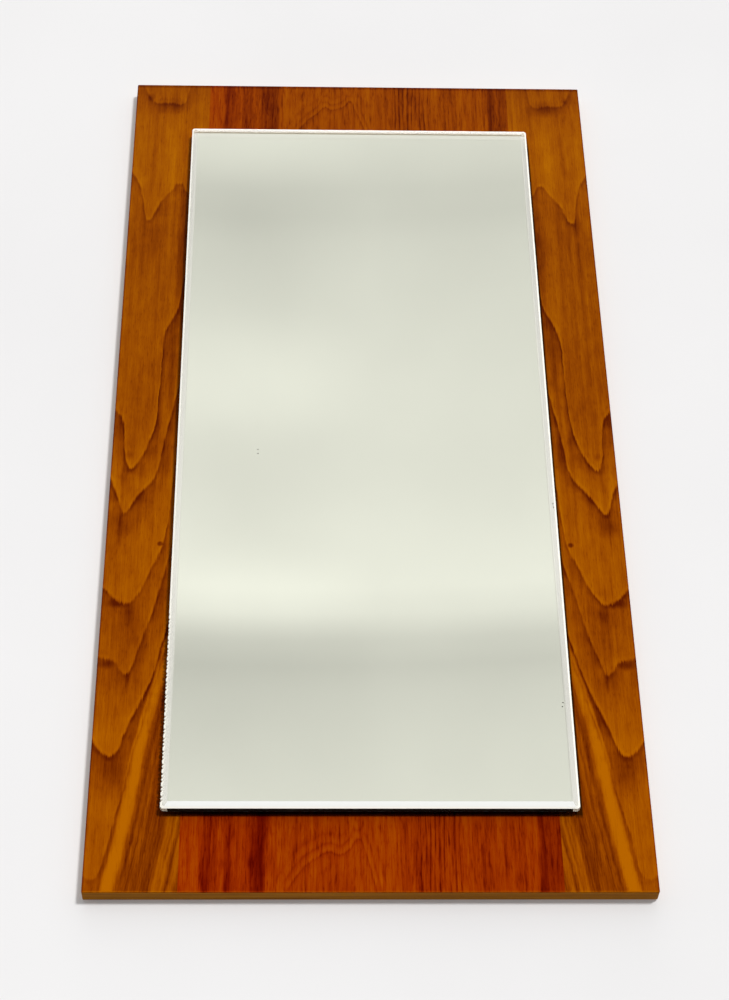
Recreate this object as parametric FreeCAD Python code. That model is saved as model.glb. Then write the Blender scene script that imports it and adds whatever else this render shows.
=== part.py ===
import FreeCAD
import Part
import os

# A wall mirror: a bevelled glass held clear of a flat board that is veneered with teak.
# Sizes are in millimetres. The wall is the plane Y = 0 and the mirror faces -Y, with +Z up
# and +X to the viewer's right. The origin is the centre of the board's back.

# Board
BOARD_WIDTH = 400.0
BOARD_HEIGHT = 800.0
BOARD_THICKNESS = 12.0
CORNER_RADIUS = 1.0
ARRIS_RADIUS = 0.6
VENEER_THICKNESS = 0.7
LIPPING_THICKNESS = 5.0
SIDE_LEAF_WIDTH = 66.0

# Glass, with its place given by the width of wood left around it
GLASS_SIDE_MARGIN = 52.0
GLASS_TOP_MARGIN = 65.0
GLASS_BOTTOM_MARGIN = 60.0
GLASS_THICKNESS = 6.0
BEVEL_WIDTH = 5.0
BEVEL_DEPTH = 1.5
GLASS_CORNER_CLIP = 1.5
SILVERING_THICKNESS = 0.1
PAINT_THICKNESS = 0.1

# Tape and hardboard between the glass and the board
TAPE_THICKNESS = 1.0
TAPE_WIDTH = 25.0
TAPE_SIDE_MARGIN = 15.5
TAPE_END_MARGIN = 20.0
BACKING_THICKNESS = 3.2
BACKING_INSET = 20.0

# Countersunk wood screws, the same kind in the hardboard and in the hanger plates
SCREW_DIAMETER = 3.0
SCREW_HEAD_DIAMETER = 5.8
SCREW_HEAD_HEIGHT = 1.4
SCREW_TIP_LENGTH = 3.0
SCREW_TIP_DIAMETER = 0.6
SCREW_SLOT_WIDTH = 0.8
SCREW_SLOT_DEPTH = 0.6
SCREW_HOLE_GAP = 0.05
BACKING_SCREW_COVER = 2.5
BACKING_SCREW_SIDE_MARGIN = 78.0
BACKING_SCREW_END_MARGIN = 67.5
HANGER_SCREW_COVER = 1.1

# Keyhole plates let into the back
HANGER_SPACING = 240.0
HANGER_DROP = 70.0
PLATE_LENGTH = 50.0
PLATE_WIDTH = 22.0
PLATE_THICKNESS = 1.5
PLATE_CORNER_RADIUS = 4.0
PLATE_SUNK = 0.2
PLATE_RECESS_GAP = 0.2
PLATE_SCREW_SPACING = 38.0
KEYHOLE_ENTRY_RADIUS = 4.5
KEYHOLE_SLOT_WIDTH = 5.0
KEYHOLE_TRAVEL = 10.0
POCKET_SIDE_ROOM = 1.0
POCKET_FLOOR = 2.8

# Depths along Y, from the wall outwards
BACK_Y = 0.0
CORE_BACK_Y = BACK_Y - VENEER_THICKNESS
FACE_Y = BACK_Y - BOARD_THICKNESS
CORE_FRONT_Y = FACE_Y + VENEER_THICKNESS
BACKING_FRONT_Y = FACE_Y - BACKING_THICKNESS
TAPE_FRONT_Y = BACKING_FRONT_Y - TAPE_THICKNESS
PAINT_FRONT_Y = TAPE_FRONT_Y - PAINT_THICKNESS
GLASS_BACK_Y = PAINT_FRONT_Y - SILVERING_THICKNESS
PLATE_BACK_Y = BACK_Y - PLATE_SUNK
PLATE_FRONT_Y = PLATE_BACK_Y - PLATE_THICKNESS

# Extents of the glass and the hardboard and places of the plates, seen from the front
GLASS_WIDTH = BOARD_WIDTH - 2 * GLASS_SIDE_MARGIN
GLASS_HEIGHT = BOARD_HEIGHT - GLASS_TOP_MARGIN - GLASS_BOTTOM_MARGIN
GLASS_CENTRE_Z = (GLASS_BOTTOM_MARGIN - GLASS_TOP_MARGIN) / 2
BACKING_WIDTH = GLASS_WIDTH - 2 * BACKING_INSET
BACKING_HEIGHT = GLASS_HEIGHT - 2 * BACKING_INSET
PLATE_CENTRE_Z = BOARD_HEIGHT / 2 - HANGER_DROP
HANGER_SIDES = {"left": -HANGER_SPACING / 2, "right": HANGER_SPACING / 2}

TOWARDS_FRONT = FreeCAD.Vector(0, -1, 0)
TOWARDS_BACK = FreeCAD.Vector(0, 1, 0)
PRECISION = FreeCAD.Base.Precision


def slab(width, height, front_y, back_y, centre_x=0.0, centre_z=0.0):
    """A flat rectangular piece, placed by its centre and by its front and back planes."""
    corner = FreeCAD.Vector(centre_x - width / 2, front_y, centre_z - height / 2)
    return Part.makeBox(width, back_y - front_y, height, corner)


def outline(points, y):
    """A closed wire through (x, z) points in the plane at depth y."""
    corners = [FreeCAD.Vector(x, y, z) for x, z in points]
    return Part.makePolygon(corners + corners[:1])


def plate(points, front_y, back_y):
    """A flat piece with the outline given by (x, z) points."""
    face = Part.Face(outline(points, back_y))
    return face.extrude(FreeCAD.Vector(0, front_y - back_y, 0))


def rectangle(width, height, centre_z=0.0):
    """The (x, z) corners of a rectangle, anticlockwise from the lower left."""
    x, z = width / 2, height / 2
    return [(-x, centre_z - z), (x, centre_z - z), (x, centre_z + z), (-x, centre_z + z)]


def edges_along(shape, direction):
    """The straight edges of a shape that run along a direction."""
    found = []
    for edge in shape.Edges:
        straight = isinstance(edge.Curve, Part.Line)
        if straight and edge.Curve.Direction.isParallel(direction, PRECISION.angular()):
            found.append(edge)
    return found


def edges_at_depth(shape, y):
    """The edges of a shape that lie in the plane at depth y."""
    found = []
    for edge in shape.Edges:
        if all(abs(end.Point.y - y) < PRECISION.confusion() for end in edge.Vertexes):
            found.append(edge)
    return found


def rounded_board():
    """The whole board's outer form, with its corners and arrises rounded."""
    board = slab(BOARD_WIDTH, BOARD_HEIGHT, FACE_Y, BACK_Y)
    board = board.makeFillet(CORNER_RADIUS, edges_along(board, TOWARDS_BACK))
    arrises = edges_at_depth(board, FACE_Y) + edges_at_depth(board, BACK_Y)
    return board.makeFillet(ARRIS_RADIUS, arrises)


def stadium(width, low_z, high_z, centre_x, front_y, back_y):
    """A slot with round ends, whose end circles are centred at low_z and high_z."""
    depth = back_y - front_y
    body = slab(width, high_z - low_z, front_y, back_y, centre_x, (low_z + high_z) / 2)
    for z in (low_z, high_z):
        end = Part.makeCylinder(width / 2, depth, FreeCAD.Vector(centre_x, front_y, z), TOWARDS_BACK)
        body = body.fuse(end)
    return body.removeSplitter()


def screw_body(length, gap=0.0):
    """A countersunk screw's turned form, head up at the origin and tip along +Z, grown by a gap."""
    head = SCREW_HEAD_DIAMETER / 2 + gap
    shank = SCREW_DIAMETER / 2 + gap
    tip = SCREW_TIP_DIAMETER / 2 + gap
    profile = [
        (0, 0),
        (head, 0),
        (shank, SCREW_HEAD_HEIGHT),
        (shank, length - SCREW_TIP_LENGTH),
        (tip, length + gap),
        (0, length + gap),
    ]
    corners = [FreeCAD.Vector(r, 0, z) for r, z in profile]
    face = Part.Face(Part.makePolygon(corners + corners[:1]))
    return face.revolve(FreeCAD.Vector(0, 0, 0), FreeCAD.Vector(0, 0, 1), 360)


def slotted_screw(length):
    """One screw with its driver slot cut across the head."""
    slot_length = 2 * SCREW_HEAD_DIAMETER
    corner = FreeCAD.Vector(-slot_length / 2, -SCREW_SLOT_WIDTH / 2, -SCREW_SLOT_DEPTH)
    slot = Part.makeBox(slot_length, SCREW_SLOT_WIDTH, 2 * SCREW_SLOT_DEPTH, corner)
    return screw_body(length).cut(slot)


def driven(shape, x, y, z, direction):
    """A screw, or its hole, with the head at a point and the tip along a direction."""
    turned = shape.copy()
    turn = FreeCAD.Rotation(FreeCAD.Vector(0, 0, 1), direction)
    turned.Placement = FreeCAD.Placement(FreeCAD.Vector(x, y, z), turn)
    return turned


def backing_screw_places():
    """The (x, z) places of the hardboard's screws, in two columns of three."""
    x = BACKING_WIDTH / 2 - BACKING_SCREW_SIDE_MARGIN
    z = BACKING_HEIGHT / 2 - BACKING_SCREW_END_MARGIN
    return [(column, GLASS_CENTRE_Z + row) for column in (-x, x) for row in (-z, 0.0, z)]


def hanger_screw_places():
    """The (x, z) places of the hanger plates' screws, above and below each keyhole."""
    heights = (PLATE_CENTRE_Z - PLATE_SCREW_SPACING / 2, PLATE_CENTRE_Z + PLATE_SCREW_SPACING / 2)
    return [(x, z) for x in HANGER_SIDES.values() for z in heights]


BACKING_SCREW_LENGTH = CORE_BACK_Y - BACKING_SCREW_COVER - BACKING_FRONT_Y
HANGER_SCREW_LENGTH = PLATE_BACK_Y - CORE_FRONT_Y - HANGER_SCREW_COVER


def backing_screws(shape):
    """A copy of a shape at every place where a screw goes through the hardboard."""
    places = backing_screw_places()
    return [driven(shape, x, BACKING_FRONT_Y, z, TOWARDS_BACK) for x, z in places]


def hanger_screws(shape):
    """A copy of a shape at every place where a screw holds a hanger plate."""
    places = hanger_screw_places()
    return [driven(shape, x, PLATE_BACK_Y, z, TOWARDS_FRONT) for x, z in places]


BACKING_SCREW_HOLES = backing_screws(screw_body(BACKING_SCREW_LENGTH, SCREW_HOLE_GAP))
HANGER_SCREW_HOLES = hanger_screws(screw_body(HANGER_SCREW_LENGTH, SCREW_HOLE_GAP))


def plate_blank(x, gap, front_y, back_y):
    """A hanger plate's outline, or its recess when grown by a gap."""
    blank = slab(PLATE_WIDTH + 2 * gap, PLATE_LENGTH + 2 * gap, front_y, back_y, x, PLATE_CENTRE_Z)
    return blank.makeFillet(PLATE_CORNER_RADIUS + gap, edges_along(blank, TOWARDS_BACK))


def plate_recess(x):
    """The shallow seat that a hanger plate lies in, open at the back of the board."""
    return plate_blank(x, PLATE_RECESS_GAP, PLATE_FRONT_Y, BACK_Y)


def keyhole_heights():
    """The heights of the keyhole's entry and of the top of its slot, where the screw rests."""
    return PLATE_CENTRE_Z - KEYHOLE_TRAVEL / 2, PLATE_CENTRE_Z + KEYHOLE_TRAVEL / 2


def screw_head_pocket(x):
    """The room behind a keyhole for the head of the wall screw."""
    low_z, high_z = keyhole_heights()
    width = 2 * (KEYHOLE_ENTRY_RADIUS + POCKET_SIDE_ROOM)
    return stadium(width, low_z, high_z, x, CORE_FRONT_Y + POCKET_FLOOR, PLATE_FRONT_Y)


def core_board():
    """The chipboard core, routed for the hanger plates and drilled for the screws."""
    width = BOARD_WIDTH - 2 * LIPPING_THICKNESS
    height = BOARD_HEIGHT - 2 * LIPPING_THICKNESS
    core = slab(width, height, CORE_FRONT_Y, CORE_BACK_Y)
    routed = [plate_recess(x) for x in HANGER_SIDES.values()]
    routed += [screw_head_pocket(x) for x in HANGER_SIDES.values()]
    return core.cut(routed + BACKING_SCREW_HOLES + HANGER_SCREW_HOLES)


def lippings(board):
    """The four solid strips round the core, mitred at the corners, under the veneers."""
    outer = rectangle(BOARD_WIDTH, BOARD_HEIGHT)
    inner = rectangle(BOARD_WIDTH - 2 * LIPPING_THICKNESS, BOARD_HEIGHT - 2 * LIPPING_THICKNESS)
    strips = {}
    for side, name in enumerate(("bottom", "right", "top", "left")):
        after = (side + 1) % 4
        corners = [outer[side], outer[after], inner[after], inner[side]]
        strips[name + "_lipping"] = plate(corners, CORE_FRONT_Y, CORE_BACK_Y).common(board)
    return strips


def face_veneers(board):
    """The three leaves on the front, laid edge to edge over the core and the lippings."""
    centre_width = BOARD_WIDTH - 2 * SIDE_LEAF_WIDTH
    leaf_x = (BOARD_WIDTH - SIDE_LEAF_WIDTH) / 2
    leaves = {
        "left": slab(SIDE_LEAF_WIDTH, BOARD_HEIGHT, FACE_Y, CORE_FRONT_Y, -leaf_x),
        "centre": slab(centre_width, BOARD_HEIGHT, FACE_Y, CORE_FRONT_Y),
        "right": slab(SIDE_LEAF_WIDTH, BOARD_HEIGHT, FACE_Y, CORE_FRONT_Y, leaf_x),
    }
    return {
        "face_veneer_" + name: leaf.common(board).cut(BACKING_SCREW_HOLES)
        for name, leaf in leaves.items()
    }


def back_veneer(board):
    """The sheet on the back, cut out where the hanger plates are let in."""
    sheet = slab(BOARD_WIDTH, BOARD_HEIGHT, CORE_BACK_Y, BACK_Y).common(board)
    return sheet.cut([plate_recess(x) for x in HANGER_SIDES.values()])


def hanger_plate(x):
    """A flat steel plate with a keyhole, entry below and slot above, and two countersunk holes."""
    low_z, high_z = keyhole_heights()
    steel = plate_blank(x, 0.0, PLATE_FRONT_Y, PLATE_BACK_Y)
    entry_centre = FreeCAD.Vector(x, PLATE_FRONT_Y, low_z)
    entry = Part.makeCylinder(KEYHOLE_ENTRY_RADIUS, PLATE_THICKNESS, entry_centre, TOWARDS_BACK)
    slot = stadium(KEYHOLE_SLOT_WIDTH, low_z, high_z, x, PLATE_FRONT_Y, PLATE_BACK_Y)
    return steel.cut([entry.fuse(slot)] + HANGER_SCREW_HOLES)


def backing_board():
    """The hardboard that carries the glass, set in from its edges so that it stays hidden."""
    board = slab(BACKING_WIDTH, BACKING_HEIGHT, BACKING_FRONT_Y, FACE_Y, 0.0, GLASS_CENTRE_Z)
    return board.cut(BACKING_SCREW_HOLES)


def mirror_tapes():
    """Three upright strips of double-sided foam tape between the hardboard and the glass."""
    height = BACKING_HEIGHT - 2 * TAPE_END_MARGIN
    outer_x = BACKING_WIDTH / 2 - TAPE_SIDE_MARGIN - TAPE_WIDTH / 2
    places = {"left": -outer_x, "centre": 0.0, "right": outer_x}
    return {
        "mirror_tape_" + name: slab(TAPE_WIDTH, height, TAPE_FRONT_Y, BACKING_FRONT_Y, x, GLASS_CENTRE_Z)
        for name, x in places.items()
    }


def glass_outline():
    """The (x, z) outline of the glass, with its four corners clipped."""
    x, z, clip = GLASS_WIDTH / 2, GLASS_HEIGHT / 2, GLASS_CORNER_CLIP
    right_half = [(x - clip, -z), (x, clip - z), (x, z - clip), (x - clip, z)]
    left_half = [(clip - x, z), (-x, z - clip), (-x, clip - z), (clip - x, -z)]
    return [(px, pz + GLASS_CENTRE_Z) for px, pz in right_half + left_half]


def mirror_glass():
    """The glass plate, ground to a bevel all round its front."""
    land_y = GLASS_BACK_Y - GLASS_THICKNESS + BEVEL_DEPTH
    front_y = GLASS_BACK_Y - GLASS_THICKNESS
    full = rectangle(GLASS_WIDTH, GLASS_HEIGHT, GLASS_CENTRE_Z)
    flat = rectangle(GLASS_WIDTH - 2 * BEVEL_WIDTH, GLASS_HEIGHT - 2 * BEVEL_WIDTH, GLASS_CENTRE_Z)
    bevelled = Part.makeLoft([outline(full, land_y), outline(flat, front_y)], True, True)
    glass = plate(full, land_y, GLASS_BACK_Y).fuse(bevelled).removeSplitter()
    return glass.common(plate(glass_outline(), front_y, GLASS_BACK_Y))


def build():
    """Every piece of the mirror by name, in the order that it is put together."""
    board = rounded_board()
    pieces = {"core_board": core_board()}
    pieces.update(lippings(board))
    pieces.update(face_veneers(board))
    pieces["back_veneer"] = back_veneer(board)
    for side, x in HANGER_SIDES.items():
        pieces["hanger_plate_" + side] = hanger_plate(x)
    pieces["hanger_plate_screws"] = Part.makeCompound(hanger_screws(slotted_screw(HANGER_SCREW_LENGTH)))
    pieces["backing_board"] = backing_board()
    pieces["backing_board_screws"] = Part.makeCompound(backing_screws(slotted_screw(BACKING_SCREW_LENGTH)))
    pieces.update(mirror_tapes())
    pieces["mirror_backing_paint"] = plate(glass_outline(), PAINT_FRONT_Y, TAPE_FRONT_Y)
    pieces["mirror_silvering"] = plate(glass_outline(), GLASS_BACK_Y, PAINT_FRONT_Y)
    pieces["mirror_glass"] = mirror_glass()
    return pieces


os.makedirs("parts", exist_ok=True)
for node, shape in build().items():
    shape.exportStep("parts/" + node + ".step")
    print(node, len(shape.Solids), "solid(s)", round(shape.Volume), "mm3, valid:", shape.isValid())
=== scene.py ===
import math

import bmesh
import bpy
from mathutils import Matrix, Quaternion, Vector


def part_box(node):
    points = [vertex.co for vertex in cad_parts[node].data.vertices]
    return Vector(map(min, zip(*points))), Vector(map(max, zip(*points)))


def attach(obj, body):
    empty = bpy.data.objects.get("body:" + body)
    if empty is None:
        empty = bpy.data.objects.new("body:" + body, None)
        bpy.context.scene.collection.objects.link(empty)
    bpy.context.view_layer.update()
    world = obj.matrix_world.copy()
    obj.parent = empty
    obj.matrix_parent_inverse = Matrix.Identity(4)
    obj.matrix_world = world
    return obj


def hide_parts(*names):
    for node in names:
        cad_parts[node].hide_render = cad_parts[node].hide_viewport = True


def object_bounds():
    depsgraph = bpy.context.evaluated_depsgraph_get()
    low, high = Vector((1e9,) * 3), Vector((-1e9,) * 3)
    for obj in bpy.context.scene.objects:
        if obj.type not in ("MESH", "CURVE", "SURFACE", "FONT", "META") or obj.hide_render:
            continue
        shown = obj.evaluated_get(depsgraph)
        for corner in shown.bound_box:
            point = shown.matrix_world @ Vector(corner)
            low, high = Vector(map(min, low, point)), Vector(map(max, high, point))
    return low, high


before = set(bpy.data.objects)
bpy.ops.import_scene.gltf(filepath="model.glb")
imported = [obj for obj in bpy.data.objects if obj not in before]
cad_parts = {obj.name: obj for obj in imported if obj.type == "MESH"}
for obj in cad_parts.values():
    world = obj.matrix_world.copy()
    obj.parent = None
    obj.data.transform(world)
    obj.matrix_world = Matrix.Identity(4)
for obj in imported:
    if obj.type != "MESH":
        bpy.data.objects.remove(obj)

cad_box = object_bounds()

# Core board
# The chipboard sheet that every other piece is glued or screwed to, sawn to size and routed from behind.
# It is bare inside the two pockets behind the keyholes, where pressed wood flakes of several browns show.
CHIP_LENGTH_MM = 5.0
CHIP_WIDTH_MM = 1.6


def linear(colour):
    """A colour written as an sRGB hex value, as the linear RGBA that a shader works with."""
    channels = [int(colour[at:at + 2], 16) / 255 for at in (1, 3, 5)]
    return [c / 12.92 if c <= 0.04045 else ((c + 0.055) / 1.055) ** 2.4 for c in channels] + [1.0]


def add(tree, kind, inputs=None, stops=None, points=None, **settings):
    """Adds a node with its settings. Its inputs take a value, a socket or a node's first output.
    The stops of a ramp are (position, colour or grey), and a curve runs through its points."""
    node = tree.nodes.new(kind)
    for name, value in settings.items():
        setattr(node, name, value)
    for key, value in (inputs or {}).items():
        if isinstance(value, bpy.types.Node):
            value = value.outputs[0]
        if isinstance(value, bpy.types.NodeSocket):
            tree.links.new(value, node.inputs[key])
        else:
            node.inputs[key].default_value = value
    for number, (position, tone) in enumerate(stops or ()):
        ramp = node.color_ramp.elements
        stop = ramp[number] if number < 2 else ramp.new(position)
        stop.position = position
        stop.color = linear(tone) if isinstance(tone, str) else (tone, tone, tone, 1.0)
    if points:
        node.mapping.use_clip = False
        node.mapping.extend = "HORIZONTAL"
        curve = node.mapping.curves[0]
        curve.points[0].location, curve.points[1].location = points[0], points[-1]
        for point in points[1:-1]:
            curve.points.new(*point)
        node.mapping.update()
    return node


def start_material(name, values=None):
    """A new material, its node tree, its shader with the plain values set, and the places on the piece in
    millimetres."""
    material = bpy.data.materials.new(name)
    material.use_nodes = True
    tree = material.node_tree
    surface = tree.nodes["Principled BSDF"]
    for key, value in (values or {}).items():
        surface.inputs[key].default_value = value
    places = add(tree, "ShaderNodeTexCoord").outputs["Object"]
    millimetres = add(tree, "ShaderNodeVectorMath", {0: places, "Scale": 1000.0}, operation="SCALE")
    return material, tree, surface, millimetres


def finish(tree, surface, colour, roughness, relief):
    """Connects a shader's colour, roughness and relief, and returns the relief. Roughness is a pattern
    with the values at its two ends, and relief is a pattern with a strength and a depth in metres."""
    pattern, start, end = roughness
    rough = add(tree, "ShaderNodeMapRange", {"Value": pattern, "To Min": start, "To Max": end})
    heights, strength, depth = relief
    raised = add(tree, "ShaderNodeBump", {"Height": heights, "Strength": strength, "Distance": depth})
    tree.links.new(colour.outputs[0], surface.inputs["Base Color"])
    tree.links.new(rough.outputs[0], surface.inputs["Roughness"])
    tree.links.new(raised.outputs[0], surface.inputs["Normal"])
    return raised


def dress(material, *names):
    """Gives CAD nodes their finish."""
    for name in names:
        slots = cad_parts[name].data.materials
        slots.clear()
        slots.append(material)


def raw_chipboard():
    """Pressed wood flakes: each flake has its own brown, and the faces between them are matt and rough."""
    material, tree, surface, millimetres = start_material("raw_chipboard")
    flakes = add(tree, "ShaderNodeMapping", {
        "Vector": millimetres,
        "Scale": (1 / CHIP_LENGTH_MM, 1 / CHIP_WIDTH_MM, 1 / CHIP_LENGTH_MM),
    })
    chips = add(tree, "ShaderNodeTexVoronoi", {"Vector": flakes, "Scale": 1.0})
    shade = add(tree, "ShaderNodeSeparateColor", {0: chips.outputs["Color"]})
    browns = add(tree, "ShaderNodeValToRGB", {0: shade}, stops=[
        (0.0, "#6b4a2b"), (0.35, "#94703f"), (0.7, "#b08c58"), (1.0, "#c9a978"),
    ])
    finish(tree, surface, browns, (shade, 0.8, 0.95), (chips.outputs["Distance"], 0.6, 0.0004))
    return material


dress(raw_chipboard(), "core_board")

# Lippings
# Solid teak strips glued round the core and planed flush, mitred at the corners, then oiled.
# The grain runs along each strip, so the level ones take the pattern turned by a quarter turn.
LIPPING_LINE_MM = (0.9, 70.0)  # width and length, wider than the finest real lines so that they show


def noise_of_size(tree, places, size, shift=(0.0, 0.0, 0.0), **settings):
    """Noise whose marks have a width and a length in millimetres, the length up the piece.
    A shift keeps patterns of like size from lying over each other."""
    width, length = size
    drawn_out = add(tree, "ShaderNodeMapping", {
        "Vector": places, "Location": shift, "Scale": (1 / width, 1 / width, 1 / length),
    })
    return add(tree, "ShaderNodeTexNoise", {"Vector": drawn_out, "Scale": 1.0, **settings})


def oiled_teak_strip(name, turn):
    """Straight-grained olive brown teak: fine dark lines along the strip, satin with a little oil."""
    material, tree, surface, millimetres = start_material(name, {"Specular IOR Level": 0.03})
    along = add(tree, "ShaderNodeMapping", {"Vector": millimetres, "Rotation": (0.0, turn, 0.0)})
    grain = noise_of_size(tree, along, LIPPING_LINE_MM, Detail=5.0, Roughness=0.6)
    browns = add(tree, "ShaderNodeValToRGB", {0: grain}, stops=[
        (0.25, "#714000"), (0.45, "#9e6000"), (0.6, "#ae6e00"), (0.8, "#c17f02"),
    ])
    finish(tree, surface, browns, (grain, 0.55, 0.38), (grain, 0.25, 0.0002))
    return material


dress(oiled_teak_strip("oiled_teak_upright", 0.0), "left_lipping", "right_lipping")
dress(oiled_teak_strip("oiled_teak_level", math.pi / 2), "top_lipping", "bottom_lipping")

# Face veneer, centre leaf
# A sliced teak leaf 0.7 mm thick, pressed onto the core and oiled. It is cut near the heart of the log, so
# dark streaks run straight up it. The wood is browner at its upper end and redder at its lower end.
RED_LEAF_STREAKS = [  # millimetres from the middle of the board, and tone from dark 0 to light 1
    (-136, 0.50), (-130, 0.58), (-122, 0.52), (-118, 0.30), (-114, 0.27), (-108, 0.42), (-103, 0.46),
    (-99, 0.25), (-95, 0.42), (-88, 0.40), (-83, 0.20), (-79, 0.10), (-74, 0.24), (-70, 0.50),
    (-60, 0.57), (-54, 0.46), (-40, 0.48), (-20, 0.50), (0, 0.54), (12, 0.57), (24, 0.50), (36, 0.46),
    (50, 0.46), (64, 0.57), (72, 0.52), (79, 0.40), (86, 0.50), (96, 0.55), (104, 0.46), (112, 0.55),
    (116, 0.48), (119, 0.08), (121, 0.10), (124, 0.26), (130, 0.24), (136, 0.26),
]
RED_SWAY_MM = (60.0, 140.0)
RED_SWAY_REACH_MM = 7.0
RED_STREAK_MM = (2.2, 46.0)
RED_DASH_MM = (1.3, 12.0)
PENCIL_STRIPES_MIDDLE_MM = 47.0
PENCIL_STRIPES_REACH_MM = 18.0
PENCIL_STRIPES_FADE_MM = 4.0
PENCIL_STRIPE_SPACING_MM = 3.7
PENCIL_STRIPE_LENGTH_MM = 18.5
UPPER_SWIRL = [  # millimetres across and up from the middle of the board
    (-75, 300), (-56, 340), (-46, 356), (-36, 367), (-31, 373), (-25, 370), (-17, 372), (-12, 376),
    (-8, 381), (-4, 371), (1, 358), (12, 300),
]
LOWER_SWIRL = [
    (-75, -440), (-58, -398), (-46, -380), (-37, -373), (-30, -369), (-21, -371), (-15, -367),
    (-8, -359), (-4, -368), (2, -392), (12, -440),
]
SWIRL_PROFILE = [  # millimetres below the line, and change of tone
    (-26, 0.0), (-16, 0.04), (-14, -0.06), (-12, 0.06), (-8, 0.08), (-6.5, -0.1), (-4.5, 0.08),
    (-0.8, 0.14), (0.4, -0.2), (2, -0.06), (14, 0.0),
]
SWIRL_STRENGTH = 0.7
SWIRL_PATCH_MM = (14.0, 14.0)
RED_FEATHER_MM = 1.2
BROWN_HEIGHT_MM, RED_HEIGHT_MM = 340.0, -340.0
BROWN_SIDE_MM, RED_SIDE_MM = -60.0, -130.0
FIBRE_MM = (0.8, 26.0)  # several real fibres wide, so that they show
WOOD_MARKS = [  # width and length in millimetres, noise where each mark starts and is full, change of tone
    (0.8, 6.0, 0.54, 0.74, -0.2),
    (7.0, 16.0, 0.3, 0.7, 0.14),
    (4.0, 170.0, 0.3, 0.7, 0.18),
]
# Bands along the board's edges: the left, right and top edges are made darker, and the lower edge lighter as
# a painted highlight on its arris.
EDGE_BAND_MM = 1.3
TOP_EDGE_BAND_MM = 4.5
EDGE_TONE_AND_HIGHLIGHT = 0.3
SLOPE_STEP_MM = 0.6
SIDE_NARROWING = 0.3
OILED_WOOD = {"Specular IOR Level": 0.015, "Specular Tint": linear("#ff9428")}


def wood_fibres(tree, millimetres):
    """Pores and fibres, which run up the leaf whatever its figure does."""
    return noise_of_size(tree, millimetres, FIBRE_MM, Detail=4.0, Roughness=0.62)


def growth_line(tree, across, height, points, profile, strength, unevenness, tone):
    """Adds one growth line's light inner rim and dark outer band to a tone.
    The line's height is drawn through points across the leaf, and the profile gives the tone by the
    distance below the line, which narrows where the line runs steeply."""
    here = add(tree, "ShaderNodeFloatCurve", {"Value": across}, points=points)
    beside = add(tree, "ShaderNodeMath", {0: across, 1: SLOPE_STEP_MM}, operation="ADD")
    there = add(tree, "ShaderNodeFloatCurve", {"Value": beside}, points=points)
    climb = add(tree, "ShaderNodeMath", {0: there, 1: here}, operation="SUBTRACT")
    slope = add(tree, "ShaderNodeMath", {0: climb, 1: SLOPE_STEP_MM}, operation="DIVIDE")
    steep = add(tree, "ShaderNodeMath", {0: slope, 1: slope, 2: 1.0}, operation="MULTIPLY_ADD")
    narrowing = add(tree, "ShaderNodeMath", {0: steep, 1: SIDE_NARROWING}, operation="POWER")
    below = add(tree, "ShaderNodeMath", {0: here, 1: height}, operation="SUBTRACT")
    distance = add(tree, "ShaderNodeMath", {0: below, 1: narrowing}, operation="DIVIDE")
    edge = add(tree, "ShaderNodeFloatCurve", {"Value": distance}, points=profile)
    uneven = add(tree, "ShaderNodeMath", {0: unevenness, 1: strength}, operation="MULTIPLY")
    return add(tree, "ShaderNodeMath", {0: edge, 1: uneven, 2: tone}, operation="MULTIPLY_ADD")


def patches(tree, places, size, values, span=(0.3, 0.7), detail=2.0, **settings):
    """A factor that goes from one value to another as noise of a size in millimetres rises through a span,
    so that it changes from patch to patch or from streak to streak."""
    noise = noise_of_size(tree, places, size, Detail=detail, **settings)
    return add(tree, "ShaderNodeMapRange", {
        "Value": noise, "From Min": span[0], "From Max": span[1], "To Min": values[0], "To Max": values[1],
    })


def feathered(tree, height, fibres, reach):
    """Heights shifted up and down along the fibres, which feathers every line that crosses them."""
    shift = add(tree, "ShaderNodeMapRange", {
        "Value": fibres, "From Min": 0.3, "From Max": 0.7, "To Min": -reach, "To Max": reach,
    })
    return add(tree, "ShaderNodeMath", {0: height, 1: shift}, operation="ADD")


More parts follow.
